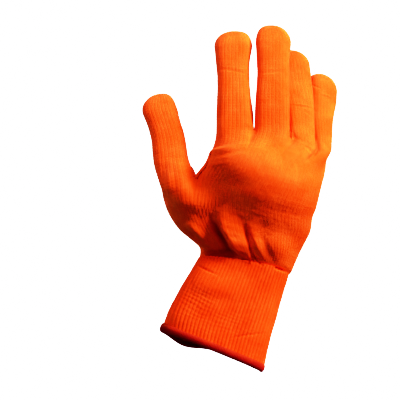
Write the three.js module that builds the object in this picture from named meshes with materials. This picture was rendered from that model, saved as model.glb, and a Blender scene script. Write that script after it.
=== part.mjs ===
// A seamless knit work glove for the right hand, in the shape that it has when it is worn.
// Units are millimetres. +X runs from the thumb to the little finger, +Y from the back of the hand
// to the palm side, and +Z from the cuff to the fingertips. The origin is the middle of the wrist
// opening.
//
// The glove is a row of knitted tubes, as a glove machine makes them. Four finger tubes stand on
// the upper palm, the thumb tube and the upper palm stand side by side on the lower palm, the lower
// palm is gathered into the ribbed cuff, and the hem binds the cuff's edge. Each tube is a thin
// shell that is lofted through a short table of sections, open where the hand goes in.

import * as THREE from "three";

// Driving dimensions
const KNIT_WALL = 1.8; // thickness of the plain knit
const CUFF_WALL = 1.8; // thickness of the ribbed knit between its ribs
const RIB_HEIGHT = 0.7;
const RIB_COUNT = 72;
const HEM_THICKNESS = 3.6;
const HEM_HEIGHT = 5.0;
const JOIN_GAP = 0.3; // between two pieces that meet

// Edges on each side of a tube's ring, where neighbouring tubes touch
const SIDE_EDGES = 4;

// Distance between a shell's rings along the tube, and the number of rings in a stall's dome
const ROW_PITCH = { stall: 12, palm: 8, gathers: 5, cuff: 16 };
const TIP_ROWS = 3;

// 1 makes a stall's tip an ellipse, and less makes it blunter
const TIP_POWER = 0.82;

// Where the palm side of the wrist opening droops, in shares of the half width from the middle
const DROOP = { middle: -0.56, reach: 0.40 };

// A fold is highest a little before the middle of its crest. 1 would be at the middle.
const FOLD_SKEW = 0.8;

const KNIT_COLOUR = 0xff6a12;
const CUFF_COLOUR = 0xf75410;
const HEM_COLOUR = 0x9c1220;

// Turns rows of numbers into objects with the named columns.
function table(names, rows) {
  const keys = names.split(" ");
  return rows.map((row) => Object.fromEntries(keys.map((key, i) => [key, row[i]])));
}

// Sections of the stalls, from the base up. x, y, z is a section's middle, tilt lowers its right
// side and yaw turns its front towards the little finger, both in degrees. power shapes the oval:
// 2 is an ellipse, and more is squarer.
const STALL_COLUMNS = "x y z tilt yaw halfWidth halfDepth power";

// edges is the number of ring edges across the back of the stall. The tip is a dome of that
// height, whose top lies to the right of its middle by lean.
const FINGERS = [
  {
    name: "index_stall",
    edges: 6,
    tip: { height: 13.4, lean: 1.4 },
    sections: table(STALL_COLUMNS, [
      [16.7, 1.5, 166.5, 3, -6, 14.0, 12.6, 2.8],
      [16.3, 0.8, 177.0, 1, -4, 14.0, 12.0, 2.6],
      [15.8, 0.4, 190.0, 0, -2, 12.8, 11.2, 2.4],
      [15.4, 0.8, 202.0, 0, 0, 12.3, 10.6, 2.3],
      [15.2, 1.4, 209.0, 0, 0, 12.2, 10.4, 2.3],
      [14.8, 2.4, 217.0, 0, 0, 12.8, 10.6, 2.3],
      [15.0, 3.4, 228.2, 0, 0, 14.3, 10.6, 2.3],
    ]),
  },
  {
    name: "middle_stall",
    edges: 6,
    tip: { height: 14.7, lean: -2.2 },
    sections: table(STALL_COLUMNS, [
      [44.2, -0.5, 163.1, 11, 2, 13.7, 13.0, 2.8],
      [44.3, -1.4, 174.0, 6, 2, 13.3, 12.0, 2.6],
      [44.7, -2.4, 190.0, 2, 0, 12.9, 11.2, 2.4],
      [45.2, -2.8, 207.0, 0, 0, 12.2, 10.8, 2.3],
      [45.2, -2.2, 219.0, 0, 0, 12.4, 10.7, 2.3],
      [45.5, -1.2, 231.6, 0, 0, 13.3, 10.6, 2.3],
    ]),
  },
  {
    name: "ring_stall",
    edges: 5,
    tip: { height: 13.4, lean: -2.0 },
    sections: table(STALL_COLUMNS, [
      [66.2, 3.0, 155.3, 25, 22, 10.2, 11.8, 2.8],
      [66.5, 4.8, 166.0, 16, 24, 9.4, 10.6, 2.8],
      [65.8, 8.8, 180.0, 6, 20, 9.7, 10.4, 2.6],
      [64.1, 12.8, 193.0, 1, 14, 10.9, 10.2, 2.4],
      [62.2, 15.4, 204.0, 0, 10, 11.8, 10.0, 2.3],
      [60.9, 16.6, 214.4, 0, 8, 12.0, 9.8, 2.3],
    ]),
  },
  {
    name: "little_stall",
    edges: 5,
    tip: { height: 18.3, lean: -3.6 },
    sections: table(STALL_COLUMNS, [
      [79.4, 9.8, 150.2, 8, 34, 6.8, 9.6, 2.6],
      [80.7, 13.0, 159.0, 5, 34, 7.3, 9.2, 2.5],
      [81.1, 17.0, 169.0, 2, 30, 8.0, 9.2, 2.4],
      [81.6, 20.8, 178.0, 0, 24, 9.2, 9.4, 2.4],
      [82.3, 24.0, 186.0, 0, 20, 10.3, 9.6, 2.3],
      [82.5, 26.4, 193.6, 0, 18, 10.9, 9.6, 2.3],
    ]),
  },
];

const THUMB = {
  name: "thumb_stall",
  edges: 6,
  tip: { height: 16.1, lean: 4.4 },
  sections: table(STALL_COLUMNS, [
    [-26.5, 11.6, 127.9, -15, -12, 13.2, 13.6, 2.5],
    [-30.9, 12.4, 140.5, -13, -4, 13.2, 12.0, 2.5],
    [-32.6, 12.2, 150.5, -13, 0, 13.3, 11.4, 2.4],
    [-34.0, 12.2, 160.5, -12, 0, 12.8, 11.2, 2.3],
    [-36.6, 12.8, 170.0, -9, 0, 12.6, 11.0, 2.3],
    [-39.6, 14.0, 179.2, -7, 0, 13.3, 11.0, 2.3],
  ]),
};

// Sections of the body, from the bottom up. front and back are the depths on the two sides of the
// middle, cupLeft and cupRight bend the section's sides towards the palm side, liftFront and
// liftBack raise the middles of its two sides, and drop is how far its palm side droops.
const BODY_COLUMNS =
  "x y z tilt halfWidth front back cupLeft cupRight power liftFront liftBack drop";

const UPPER_PALM = {
  name: "upper_palm",
  sections: table(BODY_COLUMNS, [
    [31.9, 0, 119.2, 14.8, 46.9, 15.7, 18.4, 8.5, 10, 2.4, 0, 0, 0],
    [38.2, 0, 132.4, 14.4, 44.0, 15.4, 15.6, 5.0, 11, 2.4, 0, 0, 0],
    [42.6, 0, 145.7, 12.9, 43.0, 15.0, 13.4, 3.0, 13, 2.4, 0, 0, 0],
  ]),
};

const LOWER_PALM = {
  name: "lower_palm",
  sections: table(BODY_COLUMNS, [
    [22.4, 0, 62.0, 9.5, 34.6, 18.4, 21.5, 0, 0, 3.0, 6.4, 2, 0],
    [24.4, 0, 65.4, 10.5, 35.0, 18.6, 24.4, 0, 0, 2.6, 5.6, 1, 0],
    [25.2, 0, 70.5, 11.0, 36.2, 19.6, 26.2, 1, 1, 2.3, 4.4, 0, 0],
    [23.4, 0, 77.5, 9.0, 41.0, 20.6, 26.4, 3, 3, 2.3, 3.0, 0, 0],
    [21.2, 0, 86.5, 6.8, 47.9, 19.6, 25.4, 6, 5, 2.3, 1.0, 0, 0],
    [19.7, 0, 97.0, 7.4, 53.7, 17.9, 23.2, 10, 7, 2.4, 0, 0, 0],
    [18.5, 0, 107.5, 7.6, 56.6, 16.5, 20.8, 12, 8, 2.4, 0, 0, 0],
  ]),
};

const CUFF = {
  name: "rib_cuff",
  sections: table(BODY_COLUMNS, [
    [0.8, 0, 4.2, 22.0, 40.4, 17.2, 16.6, 0, 0, 2.6, 1.2, 1.6, 6.3],
    [4.0, 0, 16.0, 18.6, 39.3, 17.6, 17.9, 0, 0, 3.2, 2.2, 1.6, 3.4],
    [10.0, 0, 31.4, 14.8, 37.8, 18.2, 19.4, 0, 0, 3.2, 3.6, 1.6, 1.0],
    [15.7, 0, 46.0, 11.6, 36.2, 18.6, 20.8, 0, 0, 3.2, 5.2, 1.8, 0],
    [22.4, 0, 62.0, 9.5, 34.6, 18.4, 21.5, 0, 0, 3.0, 6.4, 2, 0],
  ]),
};

// The hem's rounded cross-section, in halves of its thickness and its height
const HEM_PROFILE = table("out up", [
  [1, 0.55],
  [0, 1],
  [-1, 0.55],
  [-1, -0.55],
  [0, -1],
  [1, -0.55],
]);

// Folds of the gathered palm on the back of the hand, each with its crest from (x0, z0) to (x1, z1)
// as seen from the front. bow is how far the crest's middle lies off that line, and near and far
// are the fold's widths on the crest's two sides. For a crest that runs down, near is its left and
// a bow above 0 goes to the right. For one that runs to the right, near is below it and a bow
// above 0 goes up. A height below 0 makes a crease.
const FOLD_COLUMNS = "x0 z0 x1 z1 bow near far height";
const FRONT_FOLDS = table(FOLD_COLUMNS, [
  [4, 108, 27, 66, -2.6, 4.5, 13.0, 5.0],
  [-3, 103, 17, 66, -1.0, 4.6, 4.2, -3.0],
  [14, 102, 31, 68, 0, 6.0, 6.0, 1.6],
  [24, 96, 30, 73, -1.2, 2.0, 1.8, -1.1],
  [27, 80, 38, 63, -1.6, 2.2, 2.0, -1.0],
  [27, 98, 42, 65, -1.8, 2.6, 10.0, 2.4],
  [-20, 97, 5, 72, 0.5, 4.2, 4.4, 3.0],
  [-16, 74, 27, 69.5, 0.8, 3.0, 6.6, -3.5],
  [43, 87, 62, 61, 1.5, 11.0, 13.0, 1.7],
  [-13, 126, -4, 94, 0, 6.0, 6.0, -2.4],
  [-12, 145, 46, 149, 3.0, 25.0, 13.0, 3.8],
  [-28, 109, -8, 137, 0, 9.0, 9.0, 1.6],
  [-6, 146, 26, 155, 1.0, 3.4, 3.2, 1.1],
]);

// The same on the palm side, spread along the gathered wrist
const PALM_SIDE_FOLDS = table(FOLD_COLUMNS, [
  [-14, 94, -2, 67, 0, 5.0, 5.0, 2.0],
  [-2, 98, 8, 66, 0, 4.2, 4.2, -2.2],
  [10, 100, 16, 64, 0, 5.2, 5.2, 2.4],
  [22, 98, 25, 63, 0, 4.2, 4.2, -2.4],
  [33, 100, 33, 62, 0, 5.2, 5.2, 2.4],
  [45, 96, 41, 60, 0, 4.2, 4.2, -2.0],
  [56, 90, 49, 60, 0, 4.6, 4.6, 1.8],
]);

// The hand's middle in the side view. It leans back along the cuff, then to the front from the wrist
// to the knuckles, and the fingers bend back from there. The sections' own y is counted from this
// line.
const SPINE = table("z y", [
  [-20, -1.8],
  [0, 0],
  [30, 3.6],
  [48, 5.6],
  [62, 5.4],
  [76, 2.6],
  [90, -3.4],
  [104, -10.8],
  [116, -16.6],
  [126, -19.6],
  [136, -19.4],
  [148, -15.4],
  [162, -9.6],
  [178, -4.4],
  [200, 1.8],
  [225, 10.8],
  [250, 22.0],
]);

// The height on the spine that counts at each x lies higher than the place itself by that much. The
// knuckles' line falls from the index to the little finger, so the lean begins higher on the left,
// but low on the thumb's root.
const SPINE_SHIFT = table("x up", [
  [-80, 2],
  [-30, 2],
  [-16, 0],
  [4, -14],
  [18, -11],
  [32, -5],
  [50, 3],
  [66, 10],
  [110, 26],
]);

const radians = THREE.MathUtils.degToRad;

// One column of a table at a place in another one, along smooth curves through the rows
function curveAt(rows, key, column, place) {
  const at = Math.min(Math.max(place, rows[0][key]), rows.at(-1)[key]);
  const row = Math.min(rows.findLastIndex((spot) => spot[key] <= at), rows.length - 2);
  const slopeAt = (number) => {
    const below = rows[Math.max(number - 1, 0)];
    const above = rows[Math.min(number + 1, rows.length - 1)];
    return (above[column] - below[column]) / (above[key] - below[key]);
  };
  const [a, b] = [rows[row], rows[row + 1]];
  const step = b[key] - a[key];
  const t = (at - a[key]) / step;
  const level = a[column] + (b[column] - a[column]) * t * t * (3 - 2 * t);
  return level + step * t * (1 - t) * (slopeAt(row) * (1 - t) - slopeAt(row + 1) * t);
}

// How far the hand's middle lies off y = 0 at a place
function leanAt({ x, z }) {
  return curveAt(SPINE, "z", "y", z + curveAt(SPINE_SHIFT, "x", "up", x));
}

// Points along half of a section's oval, from its left end to its right end. side is -1 for the
// front and 1 for the palm side.
const OVAL_STEPS = 96;
function halfOval(section, side) {
  const depth = side < 0 ? section.front : section.back;
  const power = 2 / section.power;
  const points = [];
  for (let i = 0; i <= OVAL_STEPS; i++) {
    const angle = (Math.PI * i) / OVAL_STEPS;
    const across = -Math.sign(Math.cos(angle)) * Math.abs(Math.cos(angle)) ** power;
    const out = Math.abs(Math.sin(angle)) ** power;
    const cup = (across < 0 ? section.cupLeft : section.cupRight) * across ** 2;
    const lift = side < 0 ? section.liftFront : section.liftBack - section.drop * droopAt(across);
    points.push(new THREE.Vector3(section.halfWidth * across, side * depth * out + cup, lift * out));
  }
  return points;
}

// 1 in the middle of the droop, falling to 0 away from it
function droopAt(across) {
  return Math.exp(-(((across - DROOP.middle) / DROOP.reach) ** 2));
}

// The same line with equal steps
function resample(points, edges) {
  const lengths = [0];
  for (let i = 1; i < points.length; i++) {
    lengths.push(lengths[i - 1] + points[i].distanceTo(points[i - 1]));
  }
  const even = [];
  let at = 1;
  for (let i = 0; i <= edges; i++) {
    const target = (lengths.at(-1) * i) / edges;
    while (at < lengths.length - 1 && lengths[at] < target) at++;
    const share = (target - lengths[at - 1]) / (lengths[at] - lengths[at - 1]);
    even.push(points[at - 1].clone().lerp(points[at], share));
  }
  return even;
}

// A closed ring of points round a section. It starts at the left end, runs along the front to the
// right end and comes back along the palm side.
function sectionRing(section, halfEdges) {
  const front = resample(halfOval(section, -1), halfEdges);
  const back = resample(halfOval(section, 1), halfEdges).reverse();
  const turn = new THREE.Euler(0, radians(section.tilt), radians(section.yaw), "YXZ");
  const middle = new THREE.Vector3(section.x, section.y, section.z);
  const ring = [...front.slice(0, -1), ...back.slice(0, -1)];
  ring.forEach((point) => {
    point.applyEuler(turn).add(middle);
    point.y += leanAt(point);
  });
  return ring;
}

function stallRings(stall) {
  return stall.sections.map((section) => {
    const depths = { front: section.halfDepth, back: section.halfDepth };
    const plain = { cupLeft: 0, cupRight: 0, liftFront: 0, liftBack: 0, drop: 0 };
    return sectionRing({ ...section, ...depths, ...plain }, stall.edges + SIDE_EDGES);
  });
}

function bodyRings(piece, halfEdges) {
  return piece.sections.map((section) => sectionRing({ ...section, yaw: 0 }, halfEdges));
}

// The line round tubes that stand side by side, without the sides where they touch: the fronts
// from left to right and then the palm sides from right to left. Each place on the line lists the
// points that share it, as [tube, number of the point in the tube's ring].
function outlineOf(rings) {
  const corner = SIDE_EDGES / 2;
  const last = rings.length - 1;
  const fronts = rings.map((ring, tube) => {
    const from = tube === 0 ? 0 : corner;
    const to = ring.length / 2 - (tube === last ? 0 : corner);
    const places = range(from, to).map((i) => [[tube, i]]);
    if (tube > 0) places[0].push([tube - 1, rings[tube - 1].length / 2 - corner]);
    return places;
  });
  const backs = rings.map((ring, tube) => {
    const from = ring.length / 2 + (tube === last ? 0 : corner);
    const to = ring.length - (tube === 0 ? 0 : corner);
    const places = range(from, to).map((i) => [[tube, i]]);
    if (tube < last) places[0].push([tube + 1, rings[tube + 1].length - corner]);
    return places;
  });
  return [...fronts.flat(), ...backs.reverse().flat()];
}

function range(from, to) {
  return Array.from({ length: to - from }, (_, i) => from + i);
}

// Brings the sides where neighbouring rings touch onto one line.
function weldSides(rings) {
  for (let tube = 0; tube < rings.length - 1; tube++) {
    const [left, right] = [rings[tube], rings[tube + 1]];
    const first = (left.length - SIDE_EDGES) / 2;
    for (let i = 0; i <= SIDE_EDGES; i++) {
      const a = left[first + i];
      const b = right[(SIDE_EDGES / 2 - i + right.length) % right.length];
      a.lerp(b, 0.5);
      b.copy(a);
    }
  }
}

// Draws the welded sides of the rings apart by the gap.
function partSides(rings) {
  for (let tube = 0; tube < rings.length - 1; tube++) {
    const [left, right] = [rings[tube], rings[tube + 1]];
    const away = centreOf(right).sub(centreOf(left)).setLength(JOIN_GAP / 2);
    const first = (left.length - SIDE_EDGES) / 2;
    for (let i = 0; i <= SIDE_EDGES; i++) {
      left[first + i].sub(away);
      right[(SIDE_EDGES / 2 - i + right.length) % right.length].add(away);
    }
  }
}

function pickLine(rings, outline) {
  return outline.map(([[tube, i]]) => rings[tube][i].clone());
}

// The ring on the other side of a ring from the next one
function mirrored(ring, next) {
  return ring.map((point, i) => point.clone().multiplyScalar(2).sub(next[i]));
}

function centreOf(ring) {
  const sum = ring.reduce((total, point) => total.add(point), new THREE.Vector3());
  return sum.divideScalar(ring.length);
}

// The direction that a ring faces, up along the tube
function axisOf(ring) {
  const axis = new THREE.Vector3();
  ring.forEach((point, i) => {
    axis.add(new THREE.Vector3().crossVectors(point, ring[(i + 1) % ring.length]));
  });
  return axis.normalize();
}

// Rings along the smooth lines through the points of the key rings. The rings before and after
// only steer the lines' ends.
function loft(before, keys, after, pitch) {
  const all = [before, ...keys, after];
  const rings = [keys[0]];
  for (let k = 1; k < keys.length; k++) {
    const [a, b, c, d] = all.slice(k - 1, k + 3);
    const span = centreOf(b).distanceTo(centreOf(c));
    const steps = Math.max(1, Math.round(span / pitch));
    for (let step = 1; step <= steps; step++) {
      rings.push(b.map((_, i) => onCurve(a[i], b[i], c[i], d[i], step / steps)));
    }
  }
  return rings;
}

// A point on the cubic line from b to c that comes from a and goes on to d
function onCurve(a, b, c, d, t) {
  const length = b.distanceTo(c);
  const atB = c.clone().sub(a).multiplyScalar(length / (a.distanceTo(b) + length));
  const atC = d.clone().sub(b).multiplyScalar(length / (length + c.distanceTo(d)));
  return new THREE.Vector3()
    .addScaledVector(b, 1 + t * t * (2 * t - 3))
    .addScaledVector(atB, t * (1 - t) ** 2)
    .addScaledVector(c, t * t * (3 - 2 * t))
    .addScaledVector(atC, t * t * (t - 1));
}

// The rings of a stall's domed tip above the last ring of its shaft, and the point on top
function domeOf(shaft, tip, rows) {
  const base = shaft.at(-1);
  const centre = centreOf(base);
  const up = centre.clone().sub(centreOf(shaft.at(-2))).normalize();
  const sideways = new THREE.Vector3(tip.lean, 0, 0);
  const middleAt = (rise) =>
    centre.clone().addScaledVector(up, tip.height * rise).addScaledVector(sideways, rise ** 2);
  const rings = range(1, rows + 1).map((row) => {
    const angle = (Math.PI / 2) * (row / (rows + 1));
    const middle = middleAt(Math.sin(angle));
    return base.map((point) =>
      point.clone().sub(centre).multiplyScalar(Math.cos(angle) ** TIP_POWER).add(middle),
    );
  });
  return { rings, pole: middleAt(1) };
}

// The outward direction at each point of a stack of rings
function normalsOf(rings, pole) {
  return rings.map((ring, row) =>
    ring.map((point, i) => {
      const above = rings[row + 1]?.[i] ?? pole ?? point;
      const below = rings[row - 1]?.[i] ?? point;
      const next = ring[(i + 1) % ring.length];
      const previous = ring.at(i - 1);
      const along = above.clone().sub(below);
      return next.clone().sub(previous).cross(along).normalize();
    }),
  );
}

// How far the folds lift the cloth at a place, seen from the front
function foldHeight(folds, x, z) {
  let height = 0;
  for (const fold of folds) {
    const [dx, dz] = [fold.x1 - fold.x0, fold.z1 - fold.z0];
    const length = Math.hypot(dx, dz);
    const share = ((x - fold.x0) * dx + (z - fold.z0) * dz) / length ** 2;
    if (share <= 0 || share >= 1) continue;
    const bow = 4 * fold.bow * share * (1 - share);
    const across = ((fold.x0 - x) * dz + (z - fold.z0) * dx) / length - bow;
    const offset = Math.min(1, Math.abs(across) / (across < 0 ? fold.near : fold.far));
    const ends = Math.sin(Math.PI * share ** FOLD_SKEW);
    height += fold.height * ends * Math.cos((Math.PI / 2) * offset) ** 2;
  }
  return height;
}

// Lays the folds into a stack of rings between its two ends, which stay where they are.
function fold(rings) {
  const normals = normalsOf(rings);
  rings.slice(1, -1).forEach((ring, row) =>
    ring.forEach((point, i) => {
      const normal = normals[row + 1][i];
      const folds = normal.y < 0 ? FRONT_FOLDS : PALM_SIDE_FOLDS;
      point.addScaledVector(normal, foldHeight(folds, point.x, point.z) * Math.abs(normal.y));
    }),
  );
}

// The inside of a shell. At an open end the step inwards is square to the axis of the end, so that
// shells that meet there keep their gap through the whole wall.
function insideOf(rings, wall, axes, pole) {
  const normals = normalsOf(rings, pole);
  return rings.map((ring, row) => {
    const axis = row === 0 ? axes.bottom : row === rings.length - 1 && !pole ? axes.top : null;
    return ring.map((point, i) => {
      const inwards = normals[row][i].clone();
      if (axis) inwards.addScaledVector(axis, -inwards.dot(axis)).normalize();
      return point.clone().addScaledVector(inwards, -wall);
    });
  });
}

// Moves a shell's end back along the tube, as a rule by half of the gap.
function trimEnd(rings, row, distance = JOIN_GAP / 2) {
  const next = rings.at(row === 0 ? 1 : -2);
  rings.at(row).forEach((point, i) => {
    point.add(next[i].clone().sub(point).setLength(distance));
  });
}

// A closed mesh over stacks of outer and inner rings. A shell with a pole is closed on top.
function shellGeometry(outer, inner, pole, innerPole) {
  const count = outer[0].length;
  const rings = [...outer, ...inner.toReversed()];
  const points = rings.flat();
  const faces = [];
  rings.forEach((_, row) => {
    if (pole && row === outer.length - 1) return;
    const [low, high] = [row * count, ((row + 1) % rings.length) * count];
    for (let i = 0; i < count; i++) {
      const j = (i + 1) % count;
      faces.push(low + i, low + j, high + i, low + j, high + j, high + i);
    }
  });
  if (pole) {
    const [low, high] = [(outer.length - 1) * count, outer.length * count];
    const [top, innerTop] = [points.push(pole) - 1, points.push(innerPole) - 1];
    for (let i = 0; i < count; i++) {
      const j = (i + 1) % count;
      faces.push(low + i, low + j, top, high + j, high + i, innerTop);
    }
  }
  const geometry = new THREE.BufferGeometry().setFromPoints(points);
  geometry.setIndex(faces);
  geometry.computeVertexNormals();
  return geometry;
}

const glove = new THREE.Group();
glove.name = "knit_work_glove";

function addPiece(name, geometry, colour) {
  const material = new THREE.MeshStandardMaterial({ color: colour, roughness: 0.9, metalness: 0 });
  const mesh = new THREE.Mesh(geometry, material);
  mesh.name = name;
  glove.add(mesh);
}

// A stall: a shell that is open at its base and closed at its tip. The inner edge of its base is
// trimmed once more, because the rim below it bends at the webs.
function addStall(stall, before, keys, bottomAxis) {
  const shaft = loft(before, keys, mirrored(keys.at(-1), keys.at(-2)), ROW_PITCH.stall);
  const dome = domeOf(shaft, stall.tip, TIP_ROWS);
  const outer = [...shaft, ...dome.rings];
  trimEnd(outer, 0);
  const inner = insideOf(outer, KNIT_WALL, { bottom: bottomAxis }, dome.pole);
  trimEnd(inner, 0, JOIN_GAP);
  const down = centreOf(shaft.at(-2)).sub(centreOf(shaft.at(-1))).setLength(KNIT_WALL);
  const innerPole = dome.pole.clone().add(down);
  addPiece(stall.name, shellGeometry(outer, inner, dome.pole, innerPole), KNIT_COLOUR);
}

// A sleeve: a shell that is open at both ends
function addSleeve(name, outer, wall, axes, colour) {
  trimEnd(outer, 0);
  trimEnd(outer, -1);
  addPiece(name, shellGeometry(outer, insideOf(outer, wall, axes)), colour);
}

// The four stalls meet along the knuckles, and their outline there is the top of the upper palm.
const fingerKeys = FINGERS.map(stallRings);
const fingerBases = fingerKeys.map((keys) => keys[0]);
weldSides(fingerBases);
const knuckleOutline = outlineOf(fingerBases);
const knuckles = pickLine(fingerBases, knuckleOutline);
const aboveKnuckles = pickLine(fingerKeys.map((keys) => keys[1]), knuckleOutline);
const upperKeys = [...bodyRings(UPPER_PALM, knuckles.length / 2), knuckles];

// The thumb and the upper palm meet the lower palm in the same way.
const thumbKeys = stallRings(THUMB);
const handBases = [thumbKeys[0], upperKeys[0]];
weldSides(handBases);
const handOutline = outlineOf(handBases);
const crotch = pickLine(handBases, handOutline);
const aboveCrotch = pickLine([thumbKeys[1], upperKeys[1]], handOutline);
const lowerKeys = [...bodyRings(LOWER_PALM, crotch.length / 2), crotch];

// The ring below each tube's base: the tube below it goes on into it, and where there is none it
// mirrors the ring above.
function ringsBelow(keys, outline, below) {
  const rings = keys.map(([base, above]) => mirrored(base, above));
  outline.forEach((places, i) => places.forEach(([tube, at]) => rings[tube][at].copy(below[i])));
  return rings;
}
const belowFingers = ringsBelow(fingerKeys, knuckleOutline, upperKeys.at(-2));
const belowHand = ringsBelow([thumbKeys, upperKeys], handOutline, lowerKeys.at(-2));
const axis = {
  knuckles: axisOf(knuckles),
  crotch: axisOf(crotch),
};
partSides(fingerBases);
partSides(handBases);

FINGERS.forEach((finger, i) => {
  addStall(finger, belowFingers[i], fingerKeys[i], axis.knuckles);
});
addStall(THUMB, belowHand[0], thumbKeys, axis.crotch);

const upperRings = loft(belowHand[1], upperKeys, aboveKnuckles, ROW_PITCH.palm);
const upperAxes = { bottom: axis.crotch, top: axis.knuckles };
fold(upperRings);
addSleeve(UPPER_PALM.name, upperRings, KNIT_WALL, upperAxes, KNIT_COLOUR);

const belowWrist = mirrored(lowerKeys[0], lowerKeys[1]);
const lowerRings = loft(belowWrist, lowerKeys, aboveCrotch, ROW_PITCH.gathers);
const wristAxis = axisOf(lowerRings[0]);
fold(lowerRings);
const lowerAxes = { bottom: wristAxis, top: axis.crotch };
addSleeve(LOWER_PALM.name, lowerRings, KNIT_WALL, lowerAxes, KNIT_COLOUR);

// The cuff's ribs stand on every second point of its rings.
const cuffKeys = bodyRings(CUFF, RIB_COUNT);
const cuffBelow = mirrored(cuffKeys[0], cuffKeys[1]);
const cuffAbove = mirrored(cuffKeys.at(-1), cuffKeys.at(-2));
const cuffRings = loft(cuffBelow, cuffKeys, cuffAbove, ROW_PITCH.cuff);
const hemAxis = axisOf(cuffRings[0]);
const cuffAxes = { bottom: hemAxis, top: wristAxis };
trimEnd(cuffRings, 0);
trimEnd(cuffRings, -1);
const cuffInside = insideOf(cuffRings, CUFF_WALL, cuffAxes);
const cuffNormals = normalsOf(cuffRings);
cuffRings.forEach((ring, row) =>
  ring.forEach((point, i) => {
    const height = i % 2 === 0 ? RIB_HEIGHT / 2 : -RIB_HEIGHT / 2;
    point.addScaledVector(cuffNormals[row][i], height);
  }),
);
addPiece(CUFF.name, shellGeometry(cuffRings, cuffInside), CUFF_COLOUR);

// The hem is a rounded band along the cuff's edge, below the middle of its wall.
const hemAway = HEM_HEIGHT / 2 + JOIN_GAP;
const hemLine = cuffRings[0]
  .map((point, i) => point.clone().lerp(cuffInside[0][i], 0.5).addScaledVector(hemAxis, -hemAway))
  .filter((_, i) => i % 2 === 0);
const hemRings = HEM_PROFILE.map(({ out, up }) =>
  hemLine.map((point, i) => {
    const along = hemLine[(i + 1) % hemLine.length].clone().sub(hemLine.at(i - 1));
    const outwards = along.cross(hemAxis).normalize();
    return point
      .clone()
      .addScaledVector(outwards, (out * HEM_THICKNESS) / 2)
      .addScaledVector(hemAxis, (up * HEM_HEIGHT) / 2);
  }),
);
addPiece("bound_hem", shellGeometry(hemRings, []), HEM_COLOUR);

export default glove;
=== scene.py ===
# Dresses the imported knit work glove: the fine knit over its tubes, the ribbed cuff, the overlocked
# hem, their yarn, and a plain studio. Shapes are worked out in millimetres in the part's own frame,
# +Z to the fingertips and -Y to the viewer, and turned into metres when a mesh is made.
import math

import bpy
import numpy as np
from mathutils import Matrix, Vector


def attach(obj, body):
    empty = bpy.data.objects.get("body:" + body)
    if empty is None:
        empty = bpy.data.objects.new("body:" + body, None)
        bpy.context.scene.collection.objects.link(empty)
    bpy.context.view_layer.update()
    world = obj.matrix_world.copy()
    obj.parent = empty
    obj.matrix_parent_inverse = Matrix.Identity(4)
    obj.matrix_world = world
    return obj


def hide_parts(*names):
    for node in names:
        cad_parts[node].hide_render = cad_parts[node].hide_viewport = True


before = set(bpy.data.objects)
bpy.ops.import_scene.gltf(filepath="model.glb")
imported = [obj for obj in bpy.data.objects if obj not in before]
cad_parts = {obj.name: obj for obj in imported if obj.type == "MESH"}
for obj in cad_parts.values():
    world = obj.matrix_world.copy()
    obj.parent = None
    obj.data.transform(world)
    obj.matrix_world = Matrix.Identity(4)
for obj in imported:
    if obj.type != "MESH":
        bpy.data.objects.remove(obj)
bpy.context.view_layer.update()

MM = 0.001

# Driving dimensions of the glove, in millimetres
KNIT_WALL = 1.8
CUFF_WALL = 1.8
RIB_HEIGHT = 0.68
RIB_COUNT = 72
HEM_THICKNESS = 3.8
HEM_HEIGHT = 6.2
HEM_OVERLAP = 0.9  # how far the hem reaches over the cuff's edge
STALL_PARTING = 0.1  # between neighbouring tubes where they touch
STALL_SQUARER = 1.25  # how much squarer the cloth of a stall is than its solid

# The knit: a wale is a column of stitches, and a course is a row of them
COURSE = 2.3
COURSE_ROWS = 4  # rows of mesh points to a course
RIB_COURSE = 2.2
RIB_COURSE_ROWS = 5
WALE_POINTS = 8  # mesh points across a wale
WALE_VALLEY = 0.26  # depth between two wales
VALLEY_POWER = 4  # more makes that valley narrower
WALE_DIP = 0.12  # depth between the two legs of a stitch
DIP_POWER = 12  # more makes that dip narrower
RIB_POWER = 0.8  # less makes the ribs squarer and their valleys narrower
STITCH_DIP = 0.12  # depth between two stitches of a wale
STITCH_SLANT = 0.55  # how far a stitch's legs climb, in courses
TIP_POWER = 0.82  # 1 makes a stall's tip an ellipse, and less makes it blunter
TIP_FADE = (0.15, 0.6)  # narrow wales at a tip lose their relief between these shares of full width

# Mesh points to each edge of a solid's ring, and on a side where neighbouring tubes touch
EDGE_POINTS = 12
SIDE_EDGES = 4
SIDE_POINTS = SIDE_EDGES * EDGE_POINTS
INSIDE_STEP = 4  # the inside takes every fourth point and row
OVAL_STEPS = 960  # steps along half an oval, before it gets its even points

# Where the palm side of the wrist opening droops, in shares of the half width from the middle
DROOP = {"middle": -0.56, "reach": 0.40}

FOLD_SKEW = 0.8  # 1 makes a fold highest in its middle, and less nearer to its first end
TINY = 1e-12  # least length that a vector is divided by


def table(names, rows):
    """The rows as dictionaries with the named columns."""
    keys = names.split()
    return [dict(zip(keys, row)) for row in rows]


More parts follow.
